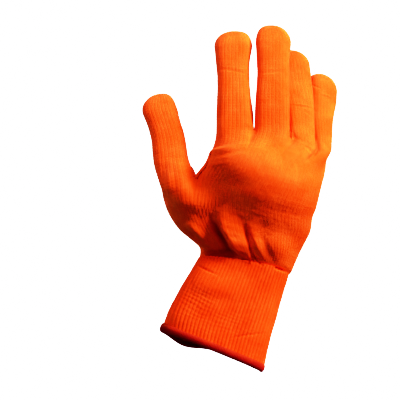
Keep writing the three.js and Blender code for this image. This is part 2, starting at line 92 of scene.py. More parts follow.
# Sections of the stalls, as in the solids. press is how far the soft cloth bulges to the left, where
# a stall is pressed against its neighbour.
STALL_COLUMNS = "x y z tilt yaw half_width half_depth power press"
INDEX_STALL = table(STALL_COLUMNS, [
    [16.7, 1.5, 166.5, 3, -6, 14, 12.6, 2.8, 0],
    [16.3, 0.8, 177, 1, -4, 14, 12, 2.6, 0],
    [15.8, 0.4, 190, 0, -2, 12.8, 11.2, 2.4, 0],
    [15.4, 0.8, 202, 0, 0, 12.3, 10.6, 2.3, 0],
    [15.2, 1.4, 209, 0, 0, 12.2, 10.4, 2.3, 0],
    [14.8, 2.4, 217, 0, 0, 12.8, 10.6, 2.3, 0],
    [15, 3.4, 228.2, 0, 0, 14.3, 10.6, 2.3, 0],
])
MIDDLE_STALL = table(STALL_COLUMNS, [
    [44.2, -0.5, 163.1, 11, 2, 13.7, 13, 2.8, 0],
    [44.3, -1.4, 174, 6, 2, 13.3, 12, 2.6, 0],
    [44.7, -2.4, 190, 2, 0, 12.9, 11.2, 2.4, 0],
    [45.2, -2.8, 207, 0, 0, 12.2, 10.8, 2.3, 0],
    [45.2, -2.2, 219, 0, 0, 12.4, 10.7, 2.3, 0],
    [45.5, -1.2, 231.6, 0, 0, 13.3, 10.6, 2.3, 0],
])
RING_STALL = table(STALL_COLUMNS, [
    [66.2, 3, 155.3, 25, 22, 10.2, 11.8, 2.8, 0.4],
    [66.5, 4.8, 166, 16, 24, 9.4, 10.6, 2.8, 1.8],
    [65.8, 8.8, 180, 6, 20, 9.7, 10.4, 2.6, 1.8],
    [64.1, 12.8, 193, 1, 14, 10.9, 10.2, 2.4, 1.3],
    [62.2, 15.4, 204, 0, 10, 11.8, 10, 2.3, 0.5],
    [60.9, 16.6, 214.4, 0, 8, 12, 9.8, 2.3, 0],
])
LITTLE_STALL = table(STALL_COLUMNS, [
    [79.4, 9.8, 150.2, 8, 34, 6.8, 9.6, 2.6, 0.1],
    [80.7, 13, 159, 5, 34, 7.3, 9.2, 2.5, 0.8],
    [81.1, 17, 169, 2, 30, 8, 9.2, 2.4, 1.1],
    [81.6, 20.8, 178, 0, 24, 9.2, 9.4, 2.4, 1.1],
    [82.3, 24, 186, 0, 20, 10.3, 9.6, 2.3, 0.8],
    [82.5, 26.4, 193.6, 0, 18, 10.9, 9.6, 2.3, 0.4],
])
THUMB_STALL = table(STALL_COLUMNS, [
    [-26.5, 11.6, 127.9, -15, -12, 13.2, 13.6, 2.5, 0],
    [-30.9, 12.4, 140.5, -13, -4, 13.2, 12, 2.5, 0],
    [-32.6, 12.2, 150.5, -13, 0, 13.3, 11.4, 2.4, 0],
    [-34, 12.2, 160.5, -12, 0, 12.8, 11.2, 2.3, 0],
    [-36.6, 12.8, 170, -9, 0, 12.6, 11, 2.3, 0],
    [-39.6, 14, 179.2, -7, 0, 13.3, 11, 2.3, 0],
])

# edges is how many edges of the solid's ring lie on a stall's front between the sides where tubes
# touch, and the tip's lean is how far its top lies to the right.
*FINGERS, THUMB = table("node sections edges tip_height tip_lean", [
    ["index_stall", INDEX_STALL, 6, 13.4, 1.4],
    ["middle_stall", MIDDLE_STALL, 6, 14.7, -2.2],
    ["ring_stall", RING_STALL, 5, 13.4, -2],
    ["little_stall", LITTLE_STALL, 5, 18.3, -3.6],
    ["thumb_stall", THUMB_STALL, 6, 16.1, 4.4],
])

# Sections of the body, as in the solids. The palm begins with the cuff's last one.
BODY_COLUMNS = "x z tilt half_width front back cup_left cup_right power lift_front lift_back drop"
CUFF = table(BODY_COLUMNS, [
    [0.8, 4.2, 22, 40.4, 17.2, 16.6, 0, 0, 2.6, 1.2, 1.6, 6.3],
    [4, 16, 18.6, 39.3, 17.6, 17.9, 0, 0, 3.2, 2.2, 1.6, 3.4],
    [10, 31.4, 14.8, 37.8, 18.2, 19.4, 0, 0, 3.2, 3.6, 1.6, 1],
    [15.7, 46, 11.6, 36.2, 18.6, 20.8, 0, 0, 3.2, 5.2, 1.8, 0],
    [22.4, 62, 9.5, 34.6, 18.4, 21.5, 0, 0, 3, 6.4, 2, 0],
])
LOWER_PALM = CUFF[-1:] + table(BODY_COLUMNS, [
    [24.4, 65.4, 10.5, 35, 18.6, 24.4, 0, 0, 2.6, 5.6, 1, 0],
    [25.2, 70.5, 11, 36.2, 19.6, 26.2, 1, 1, 2.3, 4.4, 0, 0],
    [23.4, 77.5, 9, 41, 20.6, 26.4, 3, 3, 2.3, 3, 0, 0],
    [21.2, 86.5, 6.8, 47.9, 19.6, 25.4, 6, 5, 2.3, 1, 0, 0],
    [19.7, 97, 7.4, 53.7, 17.9, 23.2, 10, 7, 2.4, 0, 0, 0],
    [18.5, 107.5, 7.6, 56.6, 16.5, 20.8, 12, 8, 2.4, 0, 0, 0],
])
UPPER_PALM = table(BODY_COLUMNS, [
    [31.9, 119.2, 14.8, 46.9, 15.7, 18.4, 8.5, 10, 2.4, 0, 0, 0],
    [38.2, 132.4, 14.4, 44, 15.4, 15.6, 5, 11, 2.4, 0, 0, 0],
    [42.6, 145.7, 12.9, 43, 15, 13.4, 3, 13, 2.4, 0, 0, 0],
])

# The hand's middle in the side view, as in the solids
SPINE = table("z y", [
    [-20, -1.8],
    [0, 0],
    [30, 3.6],
    [48, 5.6],
    [62, 5.4],
    [76, 2.6],
    [90, -3.4],
    [104, -10.8],
    [116, -16.6],
    [126, -19.6],
    [136, -19.4],
    [148, -15.4],
    [162, -9.6],
    [178, -4.4],
    [200, 1.8],
    [225, 10.8],
    [250, 22],
])

# The height on the spine that counts at each x lies higher than the place itself by that much
SPINE_SHIFT = table("x up", [
    [-80, 2],
    [-30, 2],
    [-16, 0],
    [4, -14],
    [18, -11],
    [32, -5],
    [50, 3],
    [66, 10],
    [110, 26],
])

# Folds that the solids have too, each with its crest from (x0, z0) to (x1, z1) as seen from the
# front. bow is how far the crest's middle lies to the left on that way, and near and far are the
# fold's widths to the right and to the left.
FOLD_COLUMNS = "x0 z0 x1 z1 bow near far height"
FRONT_FOLDS = table(FOLD_COLUMNS, [
    [4, 108, 27, 66, -2.6, 4.5, 13, 5],
    [-3, 103, 17, 66, -1, 4.6, 4.2, -3],
    [14, 102, 31, 68, 0, 6, 6, 1.6],
    [24, 96, 30, 73, -1.2, 2, 1.8, -1.1],
    [27, 80, 38, 63, -1.6, 2.2, 2, -1],
    [27, 98, 42, 65, -1.8, 2.6, 10, 2.4],
    [-20, 97, 5, 72, 0.5, 4.2, 4.4, 3],
    [-16, 74, 27, 69.5, 0.8, 3, 6.6, -3.5],
    [43, 87, 62, 61, 1.5, 11, 13, 1.7],
    [-12, 145, 46, 149, 3, 25, 13, 3.8],
    [-28, 109, -8, 137, 0, 9, 9, 1.6],
    [-6, 146, 26, 155, 1, 3.4, 3.2, 1.1],
])
PALM_SIDE_FOLDS = table(FOLD_COLUMNS, [
    [-14, 94, -2, 67, 0, 5, 5, 2],
    [-2, 98, 8, 66, 0, 4.2, 4.2, -2.2],
    [10, 100, 16, 64, 0, 5.2, 5.2, 2.4],
    [22, 98, 25, 63, 0, 4.2, 4.2, -2.4],
    [33, 100, 33, 62, 0, 5.2, 5.2, 2.4],
    [45, 96, 41, 60, 0, 4.2, 4.2, -2],
    [56, 90, 49, 60, 0, 4.6, 4.6, 1.8],
])

# More folds and swells on the front, which only the cloth has
FINE_FOLDS = table(FOLD_COLUMNS, [
    # the cuff's left side, which faces the light more than its middle does, and creases in the cuff
    [-12, 72, -48, -18, 0, 22, 44, 5],
    [-12, 64.5, 5, 56.5, -0.8, 1.2, 2.2, -0.9],
    [-14, 50, 28, 43, 0, 9, 15, 1.8],
    [-36, 16, 44, -14, 0, 20, 24, 1.7],
    [12, 9.5, 42, 13.5, 0.8, 1.2, 1.6, -0.5],
    # the gathers above the cuff
    [4, 104, 22, 70, -2.2, 2.4, 12, 2.4],
    [1, 97, 16, 68, -1, 2.4, 2.2, -1.3],
    [25, 94, 31, 72, -1.2, 1.3, 1.1, -0.7],
    [27, 79, 38, 63, -1.6, 1.3, 1.1, -0.5],
    [-17, 74, 24, 70.5, 0.4, 2, 4, -1.2],
    [26, 75, 29, 64, 0, 1.2, 1.4, 1.2],
    [30, 73, 35, 64, 0, 1.4, 1.6, -1],
    [29, 92, 38, 64, -1, 4, 6, 0.8],
    [28, 86, 36, 63, -1.2, 1.6, 5, 1.2],
    [45, 63, 58, 58, 0, 1.5, 1.5, -1.3],
    [37, 92, 52, 60, 1, 5, 17, 1.8],
    [-14, 84, 0, 73, 0.4, 1.6, 2.2, 0.8],
    [-17, 97, 4, 74, 0.4, 3, 8, 1.6],
    # the palm's middle, the thumb's ball, the index finger's base and the knuckles
    [28, 107, 70, 93, 0, 14, 14, 1.1],
    [-8, 146, 26, 152, 1, 16, 4, 2.1],
    [-48, 128, -2, 107, 0, 17, 15, 2.2],
    [-31, 145, -31, 98, 0, 7, 15, 2.3],
    [-26, 142, -22, 116, 0, 5, 7, 0.9],
    [15, 152, 17, 86, 0, 32, 70, 4],
    [-30, 118, -8, 74, 0, 12, 10, 1.5],
    [-2, 143, 26, 149, 0.8, 3, 2.6, -0.9],
    [-6, 137, 16, 141, 0.6, 2, 2.6, 0.6],
    [54, 162, 84, 148, 1.6, 2, 2.6, -0.5],
    [68, 155, 78, 146, 0, 2, 2, -0.4],
    [24, 171, 34, 165, 0, 2.4, 3.2, 0.8],
    # the ring and little fingers' joints
    [55, 185, 77, 182, 0.8, 1.1, 1.4, 0.5],
    [62, 183.4, 80, 179, 0.8, 1.4, 1.4, -0.35],
    [68, 180, 76, 175, 0, 1.4, 1.6, -0.4],
    [74, 200, 82, 197, 0, 1.2, 1.4, -0.6],
    [81, 193, 91, 189, 0.6, 1.2, 1.8, 0.6],
    # a swell across the fingers, which lean back more above it, and the first two fingers' joints
    [-36, 193, 100, 184, 0, 27, 27, 1.9],
    [4, 211, 27, 207, 1, 1.6, 2.4, -0.5],
    [33, 208, 57, 210, 0, 1.6, 2.4, -0.4],
])

# Fields of fine parallel wrinkles on the front: the middle of each field and its half widths, the
# direction that its wrinkles run in, in degrees, their pitch and their depth
WRINKLES = table("x z wide high angle pitch depth", [
    [50, 104, 26, 24, -18, 3.8, 0.08],
    [14, 92, 20, 16, -24, 5, 0.22],
    [-5, 118, 8, 15, 78, 2.7, 0.55],
    [12, 133, 14, 7, 12, 3.6, 0.10],
    [-13, 36, 15, 11, -27, 3.1, 0.26],
    [8, 22, 20, 8, -18, 3, 0.20],
    [-22, 150, 10, 14, 20, 4.4, 0.18],
])
WRINKLE_WARP = 2.4  # how far noise shifts a wrinkle, in radians
WARP_PITCHES = 3  # size of that noise's bumps, in pitches

# Places where the wales stand out more or less than elsewhere
RELIEF_SPOTS = table("x z reach gain", [
    [0, 116, 18, 0.9],
    [14, 178, 20, 0.5],
    [40, 172, 18, 0.4],
    [70, 146, 26, -0.35],
    [76, 190, 24, -0.4],
    [40, 232, 26, -0.3],
    [30, 84, 26, -0.5],
    [-2, 52, 17, -0.6],
    [8, 67, 11, 0.5],
    [18, 60, 16, -0.25],
    [54, 108, 24, -0.35],
    [28, 112, 15, -0.35],
    [34, 142, 22, -0.45],
])

# Uneven cloth: the size of its bumps, their height, and the number that starts their noise
SLACK_BUMPS = {"size": 15.0, "height": 0.28, "seed": 8}
YARN_BUMPS = {"size": 3.2, "height": 0.10, "seed": 9}
NOISE_CELLS = 24  # bumps each way before the noise repeats

# The groove where the palm is gathered into the cuff
GROOVE_REACH = 4.6
GROOVE_DEPTH = {"palm": 0.7, "cuff": 0.2}
GROOVE_SIDE_SHARE = 0.25  # its depth at the two sides, as a share of that in front
GROOVE_FADE = 0.7  # less keeps the palm's folds and wrinkles closer to the groove

# The cuff's rim stands out over the palm on the left of the front
RIM_SPOT = {"x": 3, "reach": 20, "palm": 1.7, "cuff": -0.9}


def signed_power(values, power):
    """The values' sizes raised to a power, with the values' signs."""
    return np.sign(values) * np.abs(values) ** power


def curve_at(rows, key, column, place):
    """One column of a table at a place in its key column, on a smooth curve through the rows."""
    places = np.array([row[key] for row in rows], float)
    values = np.array([row[column] for row in rows], float)
    numbers = np.arange(len(rows))
    below = np.maximum(numbers - 1, 0)
    above = np.minimum(numbers + 1, len(rows) - 1)
    slopes = (values[above] - values[below]) / (places[above] - places[below])
    place = np.clip(place, places[0], places[-1])
    row = np.clip(np.searchsorted(places, place, side="right") - 1, 0, len(rows) - 2)
    step = places[row + 1] - places[row]
    t = (place - places[row]) / step
    level = values[row] + (values[row + 1] - values[row]) * t * t * (3 - 2 * t)
    return level + step * t * (1 - t) * (slopes[row] * (1 - t) - slopes[row + 1] * t)


def lean_at(x, z):
    """How far the hand's middle lies off y = 0 at a place. The knuckles' line falls from the index
    to the little finger, so the lean begins higher on the left, but low on the thumb's root."""
    return curve_at(SPINE, "z", "y", z + curve_at(SPINE_SHIFT, "x", "up", x))


def half_oval(section, side):
    """Half of a section's oval from its left end to its right end. side is -1 for the front."""
    depth = section["front"] if side < 0 else section["back"]
    angle = np.linspace(0, math.pi, OVAL_STEPS + 1)
    cosine, sine = np.cos(angle), np.sin(angle)
    power = 2 / section["power"]
    across = -signed_power(cosine, power)
    out = np.abs(sine) ** power
    cup = np.where(across < 0, section["cup_left"], section["cup_right"]) * across**2
    droop = np.exp(-(((across - DROOP["middle"]) / DROOP["reach"]) ** 2))
    lift = section["lift_front"] if side < 0 else section["lift_back"] - section["drop"] * droop
    return np.stack([section["half_width"] * across, side * depth * out + cup, lift * out], axis=1)


def resample(points, edges):
    """The same line with equal steps."""
    steps = np.linalg.norm(np.diff(points, axis=0), axis=1)
    lengths = np.concatenate([[0], np.cumsum(steps)])
    places = np.linspace(0, lengths[-1], edges + 1)
    return np.stack([np.interp(places, lengths, points[:, axis]) for axis in range(3)], axis=1)


def section_ring(section, half_edges):
    """A closed ring of points: along the front to the right end and back along the palm side."""
    front = resample(half_oval(section, -1), half_edges)
    back = resample(half_oval(section, 1), half_edges)[::-1]
    x, y, z = np.concatenate([front[:-1], back[:-1]]).T
    yaw, tilt = math.radians(section.get("yaw", 0)), math.radians(section["tilt"])
    x, y = x * math.cos(yaw) - y * math.sin(yaw), x * math.sin(yaw) + y * math.cos(yaw)
    x, z = x * math.cos(tilt) + z * math.sin(tilt), z * math.cos(tilt) - x * math.sin(tilt)
    ring = np.stack([x + section["x"], y + section.get("y", 0), z + section["z"]], axis=1)
    ring[:, 1] += lean_at(ring[:, 0], ring[:, 2])
    return ring


def stall_rings(stall):
    """The key rings of a stall."""
    plain = {"cup_left": 0, "cup_right": 0, "lift_front": 0, "lift_back": 0, "drop": 0}
    half_edges = stall["edges"] * EDGE_POINTS + SIDE_POINTS
    rings = []
    for section in stall["sections"]:
        cloth = {
            "x": section["x"] - section["press"],
            "half_width": section["half_width"] + section["press"],
            "front": section["half_depth"],
            "back": section["half_depth"],
            "power": section["power"] * STALL_SQUARER,
        }
        rings.append(section_ring({**section, **plain, **cloth}, half_edges))
    return rings


def outline_of(rings):
    """The line round tubes side by side, without the sides where they touch. Each place on it lists
    the points that share it, as (tube, number of the point in the tube's ring)."""
    corner = SIDE_POINTS // 2
    last = len(rings) - 1
    fronts, backs = [], []
    for tube, ring in enumerate(rings):
        half = len(ring) // 2
        left = 0 if tube == 0 else corner
        right = 0 if tube == last else corner
        front = [[(tube, i)] for i in range(left, half - right)]
        back = [[(tube, i)] for i in range(half + right, len(ring) - left)]
        if tube > 0:
            front[0].append((tube - 1, len(rings[tube - 1]) // 2 - corner))
        if tube < last:
            back[0].append((tube + 1, len(rings[tube + 1]) - corner))
        fronts.append(front)
        backs.append(back)
    return sum(fronts, []) + sum(reversed(backs), [])


def touching(left, right):
    """The numbers of the points where two neighbouring rings touch, as a list for each."""
    steps = np.arange(SIDE_POINTS + 1)
    first = (len(left) - SIDE_POINTS) // 2
    return first + steps, (SIDE_POINTS // 2 - steps) % len(right)


def weld_sides(rings):
    """Brings the sides where neighbouring rings touch onto one line."""
    for left, right in zip(rings, rings[1:]):
        a, b = touching(left, right)
        middle = (left[a] + right[b]) / 2
        left[a] = middle
        right[b] = middle


def part_sides(rings):
    """Draws the welded sides a little apart."""
    for left, right in zip(rings, rings[1:]):
        a, b = touching(left, right)
        away = unit(right.mean(axis=0) - left.mean(axis=0)) * STALL_PARTING / 2
        left[a] -= away
        right[b] += away


def pick_line(rings, outline):
    """The points of the rings along the outline."""
    return np.array([rings[places[0][0]][places[0][1]] for places in outline])


def rings_below(keys, outline, below):
    """The ring that steers each tube's base from below."""
    rings = [mirrored(*tube[:2]) for tube in keys]
    for number, places in enumerate(outline):
        for tube, i in places:
            rings[tube][i] = below[number]
    return rings


def mirrored(ring, following):
    """The ring on the other side of a ring from the next one."""
    return 2 * ring - following


def unit(vectors):
    """The vectors with length 1."""
    length = np.linalg.norm(vectors, axis=-1, keepdims=True)
    return vectors / np.maximum(length, TINY)


def axis_of(ring):
    """The direction that a ring faces, up along the tube."""
    return unit(np.cross(ring, np.roll(ring, -1, axis=0)).sum(axis=0))


def on_curve(a, b, c, d, t):
    """Points on the cubic lines from b to c that come from a and go on to d."""
    length = np.linalg.norm(b - c, axis=1, keepdims=True)
    before = np.linalg.norm(a - b, axis=1, keepdims=True)
    after = np.linalg.norm(c - d, axis=1, keepdims=True)
    at_b = (c - a) * length / (before + length)
    at_c = (d - b) * length / (length + after)
    start = b * (1 + t * t * (2 * t - 3)) + at_b * t * (1 - t) ** 2
    return start + c * t * t * (3 - 2 * t) + at_c * t * t * (t - 1)


def loft(before, keys, after, course, rows_per_course):
    """Fine rings through the key rings, and the number of the course at each."""
    steering = [before, *keys, after]
    rings, courses = [keys[0]], [0.0]
    for a, b, c, d in zip(steering, steering[1:], steering[2:], steering[3:]):
        span = np.linalg.norm(c.mean(axis=0) - b.mean(axis=0))
        steps = max(1, round(span / course)) * rows_per_course
        for step in range(1, steps + 1):
            rings.append(on_curve(a, b, c, d, step / steps))
            courses.append(courses[-1] + 1 / rows_per_course)
    return np.array(rings), np.array(courses)


def dome_of(shaft, height, lean):
    """The rings of a stall's domed tip above its shaft, and the point on top."""
    base = shaft[-1]
    centre = base.mean(axis=0)
    up = unit(centre - shaft[-2].mean(axis=0))
    rows = round(math.pi / 2 * height / (COURSE / COURSE_ROWS))

    def middle_at(rise):
        return centre + up * height * rise + np.array([lean, 0, 0]) * rise**2

    angles = math.pi / 2 * np.arange(1, rows + 1) / (rows + 1)
    rings = [(base - centre) * math.cos(a) ** TIP_POWER + middle_at(math.sin(a)) for a in angles]
    return np.array(rings), middle_at(1)


def normals_of(rings, pole=None):
    """The outward direction at each point of a stack of rings."""
    top = rings[-1:] if pole is None else np.broadcast_to(pole, rings[-1:].shape)
    padded = np.concatenate([rings[:1], rings, top])
    along = padded[2:] - padded[:-2]
    around = np.roll(rings, -1, axis=1) - np.roll(rings, 1, axis=1)
    return unit(np.cross(around, along))


def fold_height(folds, x, z):
    """How far the folds lift the cloth at a place, seen from the front."""
    height = np.zeros_like(x)
    for row in folds:
        dx, dz = row["x1"] - row["x0"], row["z1"] - row["z0"]
        length = math.hypot(dx, dz)
        share = np.clip(((x - row["x0"]) * dx + (z - row["z0"]) * dz) / length**2, 0, 1)
        bow = 4 * row["bow"] * share * (1 - share)
        across = ((row["x0"] - x) * dz + (z - row["z0"]) * dx) / length - bow
        offset = np.minimum(1, np.abs(across) / np.where(across < 0, row["near"], row["far"]))
        ends = np.sin(math.pi * share**FOLD_SKEW)
        height += row["height"] * ends * np.cos(math.pi / 2 * offset) ** 2
    return height


def smooth_noise(points, size, seed):
    """Soft random heights from -1 to 1, the same on each run, with bumps of about that size."""
    grid = np.random.default_rng(seed).uniform(-1, 1, (NOISE_CELLS,) * 3)
    place = points / size
    cell = np.floor(place).astype(int)
    t = place - cell
    t = t * t * (3 - 2 * t)
    total = np.zeros(points.shape[:-1])
    for corner in np.ndindex(2, 2, 2):
        weight = np.prod(np.where(corner, t, 1 - t), axis=-1)
        x, y, z = np.moveaxis((cell + corner) % NOISE_CELLS, -1, 0)
        total += weight * grid[x, y, z]
    return total


def wrinkle_height(points):
    """The fields of fine wrinkles, as depths below the cloth."""
    x, z = points[..., 0], points[..., 2]
    height = np.zeros_like(x)
    for number, field in enumerate(WRINKLES):
        dx, dz = x - field["x"], z - field["z"]
        inside = np.exp(-((dx / field["wide"]) ** 2) - (dz / field["high"]) ** 2)
        angle = math.radians(field["angle"])
        across = dz * math.cos(angle) - dx * math.sin(angle)
        warp = WRINKLE_WARP * smooth_noise(points, field["pitch"] * WARP_PITCHES, number)
        wave = np.sin(2 * math.pi * across / field["pitch"] + warp)
        height -= field["depth"] * inside * (0.5 + 0.5 * wave)
    return height


def bumps(points, kind):
    """Random bumps with the size, height and seed of that kind."""
    return kind["height"] * smooth_noise(points, kind["size"], kind["seed"])


def cloth_height(points, normals):
    """All that lifts the cloth off its smooth tube, and the part of it that is folds."""
    x, z, facing = points[..., 0], points[..., 2], normals[..., 1]
    front = fold_height(FRONT_FOLDS + FINE_FOLDS, x, z) + wrinkle_height(points)
    folds = np.where(facing < 0, front, fold_height(PALM_SIDE_FOLDS, x, z)) * np.abs(facing)
    uneven = bumps(points, SLACK_BUMPS) + bumps(points, YARN_BUMPS)
    return folds + uneven, folds


def wale_gain(points):
    """How much the wales stand out at a place."""
    gain = np.ones(points.shape[:-1])
    for spot in RELIEF_SPOTS:
        away = np.hypot(points[..., 0] - spot["x"], points[..., 2] - spot["z"])
        gain += spot["gain"] * np.exp(-((away / spot["reach"]) ** 2))
    return gain


def knit_height(rings, courses):
    """The relief of plain knit: columns of V-shaped stitches, as depths below the cloth."""
    place = np.arange(rings.shape[1]) / WALE_POINTS % 1
    courses = courses[:, None]
    valley = np.abs(np.cos(math.pi * place)) ** VALLEY_POWER
    dip = np.abs(np.sin(math.pi * place)) ** DIP_POWER
    climb = STITCH_SLANT * np.abs(2 * place - 1)
    stitch = (0.5 - 0.5 * np.cos(2 * math.pi * (courses - climb))) ** 2
    relief = WALE_VALLEY * valley + WALE_DIP * dip + STITCH_DIP * stitch * (1 - valley)
    around = np.linalg.norm(np.roll(rings, -1, axis=1) - rings, axis=2).sum(axis=1)
    width = around / around[0]
    fade = np.clip((width - TIP_FADE[0]) / (TIP_FADE[1] - TIP_FADE[0]), 0, 1)
    return -relief * fade[:, None] * wale_gain(rings)


def rib_height(rings, courses):
    """The relief of rib knit: round ribs with narrow valleys between them."""
    place = np.arange(rings.shape[1]) / WALE_POINTS % 1
    rib = np.abs(np.cos(math.pi * place)) ** RIB_POWER - 1
    stitch = 0.5 + 0.5 * np.cos(2 * math.pi * courses[:, None])
    relief = RIB_HEIGHT * rib - STITCH_DIP * stitch * np.abs(np.cos(math.pi * place)) ** 2
    return relief * wale_gain(rings)


def groove_height(rings, normals, end, side):
    """The pull of the gathers at one end of the palm or the cuff."""
    away = np.linalg.norm(rings - rings[end], axis=2)
    share = np.clip(1 - away / GROOVE_REACH, 0, 1)
    facing = GROOVE_SIDE_SHARE + (1 - GROOVE_SIDE_SHARE) * np.abs(normals[..., 1])
    spot = np.exp(-(((rings[..., 0] - RIM_SPOT["x"]) / RIM_SPOT["reach"]) ** 2))
    spot *= np.clip(-normals[..., 1], 0, 1)
    return -share**2 * (GROOVE_DEPTH[side] * facing + RIM_SPOT[side] * spot)


def inside_of(rings, normals, wall, axes):
    """The inside of a shell on a coarser grid, and the numbers of its rows on the finer one. At an
    open end the step inwards is square to the end's axis."""
    last = len(rings) - 1
    rows = np.append(np.arange(0, last, INSIDE_STEP), last)
    inwards = normals.copy()
    for row, axis in axes.items():
        inwards[row] = unit(inwards[row] - (inwards[row] @ axis)[:, None] * axis)
    inner = rings - inwards * wall
    return inner[rows][:, ::INSIDE_STEP], rows


# Where each stretch of a mesh lies on its bake map, from the bottom up
BAKE_BANDS = {
    "inside": (0.01, 0.18),
    "low_rim": (0.19, 0.20),
    "high_rim": (0.21, 0.22),
    "outside": (0.23, 0.99),
    "whole": (0, 1),
}
POLE_UP = 1.01  # how far up its stretch a pole lies there


class MeshParts:
    """Gathers the points, faces and map corners of a mesh with that many wales or wraps round it."""

    def __init__(self, wales):
        self.wales = wales
        self.points = []
        self.faces = []
        self.knit_map = []
        self.bake_map = []

    def add_points(self, points):
        """Adds points, and returns the number of the first one."""
        first = sum(len(earlier) for earlier in self.points)
        self.points.append(points.reshape(-1, 3))
        return first

    def add_faces(self, band, numbers, around, up, courses, flip=False):
        """Adds faces by the numbers of their points. around and up say how far round and up the
        band each corner lies, and courses how many courses up the knit."""
        low, high = BAKE_BANDS[band]
        knit = np.stack([around * self.wales, courses], axis=-1)
        bake = np.stack([around, low + (high - low) * up], axis=-1)
        order = slice(None, None, -1 if flip else 1)
        self.faces.extend(numbers[:, order].tolist())
        self.knit_map.append(knit[:, order].reshape(-1, 2))
        self.bake_map.append(bake[:, order].reshape(-1, 2))


def quads(rows, columns):
    """The faces of a grid that closes on itself sideways, and the column and row of each corner."""
    row, column = np.meshgrid(np.arange(rows - 1), np.arange(columns), indexing="ij")
    around = column.reshape(-1, 1) + np.array([0, 1, 1, 0])
    up = row.reshape(-1, 1) + np.array([0, 0, 1, 1])
    return up * columns + around % columns, around, up


def add_grid(parts, band, points, courses, flip=False):
    """Adds one side of a shell to the mesh, and returns the number of its first point."""
    first = parts.add_points(points)
    rows, columns = points.shape[:2]
    numbers, around, up = quads(rows, columns)
    parts.add_faces(band, first + numbers, around / columns, up / (rows - 1), courses[up], flip)
    return first


def add_rim(parts, band, outer_first, inner_first, outer_count, course, flip=False):
    """Joins the ends of a shell's two sides, five outer points to each two inner ones."""
    inner_count = outer_count // INSIDE_STEP
    steps = np.arange(inner_count)[:, None]
    outer = steps * INSIDE_STEP + np.arange(INSIDE_STEP + 1)
    inner = steps + np.array([1, 0])
    corners = [outer_first + outer % outer_count, inner_first + inner % inner_count]
    around = np.concatenate([outer, inner * INSIDE_STEP], axis=1) / outer_count
    side = np.broadcast_to(np.repeat([0, 1], [INSIDE_STEP + 1, 2]), around.shape)
    courses = np.full(around.shape, course)
    parts.add_faces(band, np.concatenate(corners, axis=1), around, side, courses, flip)


def add_cap(parts, band, ring_first, count, pole, course, flip=False):
    """Closes a ring with a fan of triangles round a pole."""
    top = parts.add_points(pole)
    step = np.arange(count)
    ring = ring_first + step
    numbers = np.stack([ring, np.roll(ring, -1), np.full(count, top)], axis=1)
    around = np.stack([step, step + 1, step + 0.5], axis=1) / count
    up = np.broadcast_to([1, 1, POLE_UP], around.shape)
    parts.add_faces(band, numbers, around, up, np.full(around.shape, course), flip)


def make_mesh(name, parts, sharp_points, folds):
    """A smooth mesh in metres with its two maps. folds steer the yarn's painted shade at the first
    points.
    """
    mesh = bpy.data.meshes.new(name)
    points = np.concatenate(parts.points) * MM
    mesh.from_pydata(points.tolist(), [], parts.faces)
    for layer_name, corners in (("knit", parts.knit_map), ("OFBake", parts.bake_map)):
        layer = mesh.uv_layers.new(name=layer_name)
        layer.data.foreach_set("uv", np.concatenate(corners).astype(np.float32).ravel())
    mesh.polygons.foreach_set("use_smooth", np.ones(len(mesh.polygons), bool))
    ends = np.zeros(len(mesh.edges) * 2, int)
    mesh.edges.foreach_get("vertices", ends)
    marked = np.isin(ends.reshape(-1, 2), sharp_points).all(axis=1)
    sharp = mesh.attributes.new("sharp_edge", "BOOLEAN", "EDGE")
    sharp.data.foreach_set("value", marked)
    # Fold heights, which the yarn turns into painted shade in its creases
    shades = np.zeros(len(points), np.float32)
    shades[: folds.size] = folds.ravel()
    field = mesh.attributes.new("fold", "FLOAT", "POINT")
    field.data.foreach_set("value", shades)
    mesh.validate()
    mesh.update()
    return mesh


def add_object(name, data):
    """Puts a mesh, a light or a camera in the scene."""
    thing = bpy.data.objects.new(name, data)
    bpy.context.scene.collection.objects.link(thing)
    return thing


def add_piece(node, mesh, material):
    """Puts a mesh in place of a node of the solids, as a piece with the mesh's name."""
    piece = add_object(mesh.name, mesh)
    mesh.materials.append(material)
    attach(piece, "root")
    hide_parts(node)


def shell_mesh(node, outer, inner, rows, courses, folds, poles=None):
    """The closed mesh of a tube's outside and inside. poles are the tips of both for a stall."""
    count, inner_count = outer.shape[1], inner.shape[1]
    parts = MeshParts(count / WALE_POINTS)
    outer_first = add_grid(parts, "outside", outer, courses)
    inner_first = add_grid(parts, "inside", inner, courses[rows], flip=True)
    add_rim(parts, "low_rim", outer_first, inner_first, count, courses[0], flip=True)
    rims = [outer_first + np.arange(count)]
    outer_top = outer_first + (len(outer) - 1) * count
    inner_top = inner_first + (len(inner) - 1) * inner_count
    if poles is None:
        add_rim(parts, "high_rim", outer_top, inner_top, count, courses[-1])
        rims.append(outer_top + np.arange(count))
    else:
        add_cap(parts, "outside", outer_top, count, poles[0], courses[-1])
        add_cap(parts, "inside", inner_top, inner_count, poles[1], courses[-1], flip=True)
    return make_mesh(node + "_knit", parts, np.concatenate(rims), folds)


def make_stall(stall, before, keys, bottom_axis, material):
    """A stall: a knitted tube that is open at its base and closed at its tip."""
    after = mirrored(keys[-1], keys[-2])
    shaft, courses = loft(before, keys, after, COURSE, COURSE_ROWS)
    dome, pole = dome_of(shaft, stall["tip_height"], stall["tip_lean"])
    smooth = np.concatenate([shaft, dome])
    dome_courses = courses[-1] + np.arange(1, len(dome) + 1) / COURSE_ROWS
    courses = np.concatenate([courses, dome_courses])
    normals = normals_of(smooth, pole)
    lift, folds = cloth_height(smooth, normals)
    cloth = smooth + normals * lift[..., None]
    relief = knit_height(cloth, courses)
    outer = cloth + normals_of(cloth, pole) * relief[..., None]
    inner, rows = inside_of(cloth, normals, KNIT_WALL, {0: bottom_axis})
    down = unit(shaft[-2].mean(axis=0) - shaft[-1].mean(axis=0)) * KNIT_WALL
    mesh = shell_mesh(stall["node"], outer, inner, rows, courses, folds, (pole, pole + down))
    add_piece(stall["node"], mesh, material)


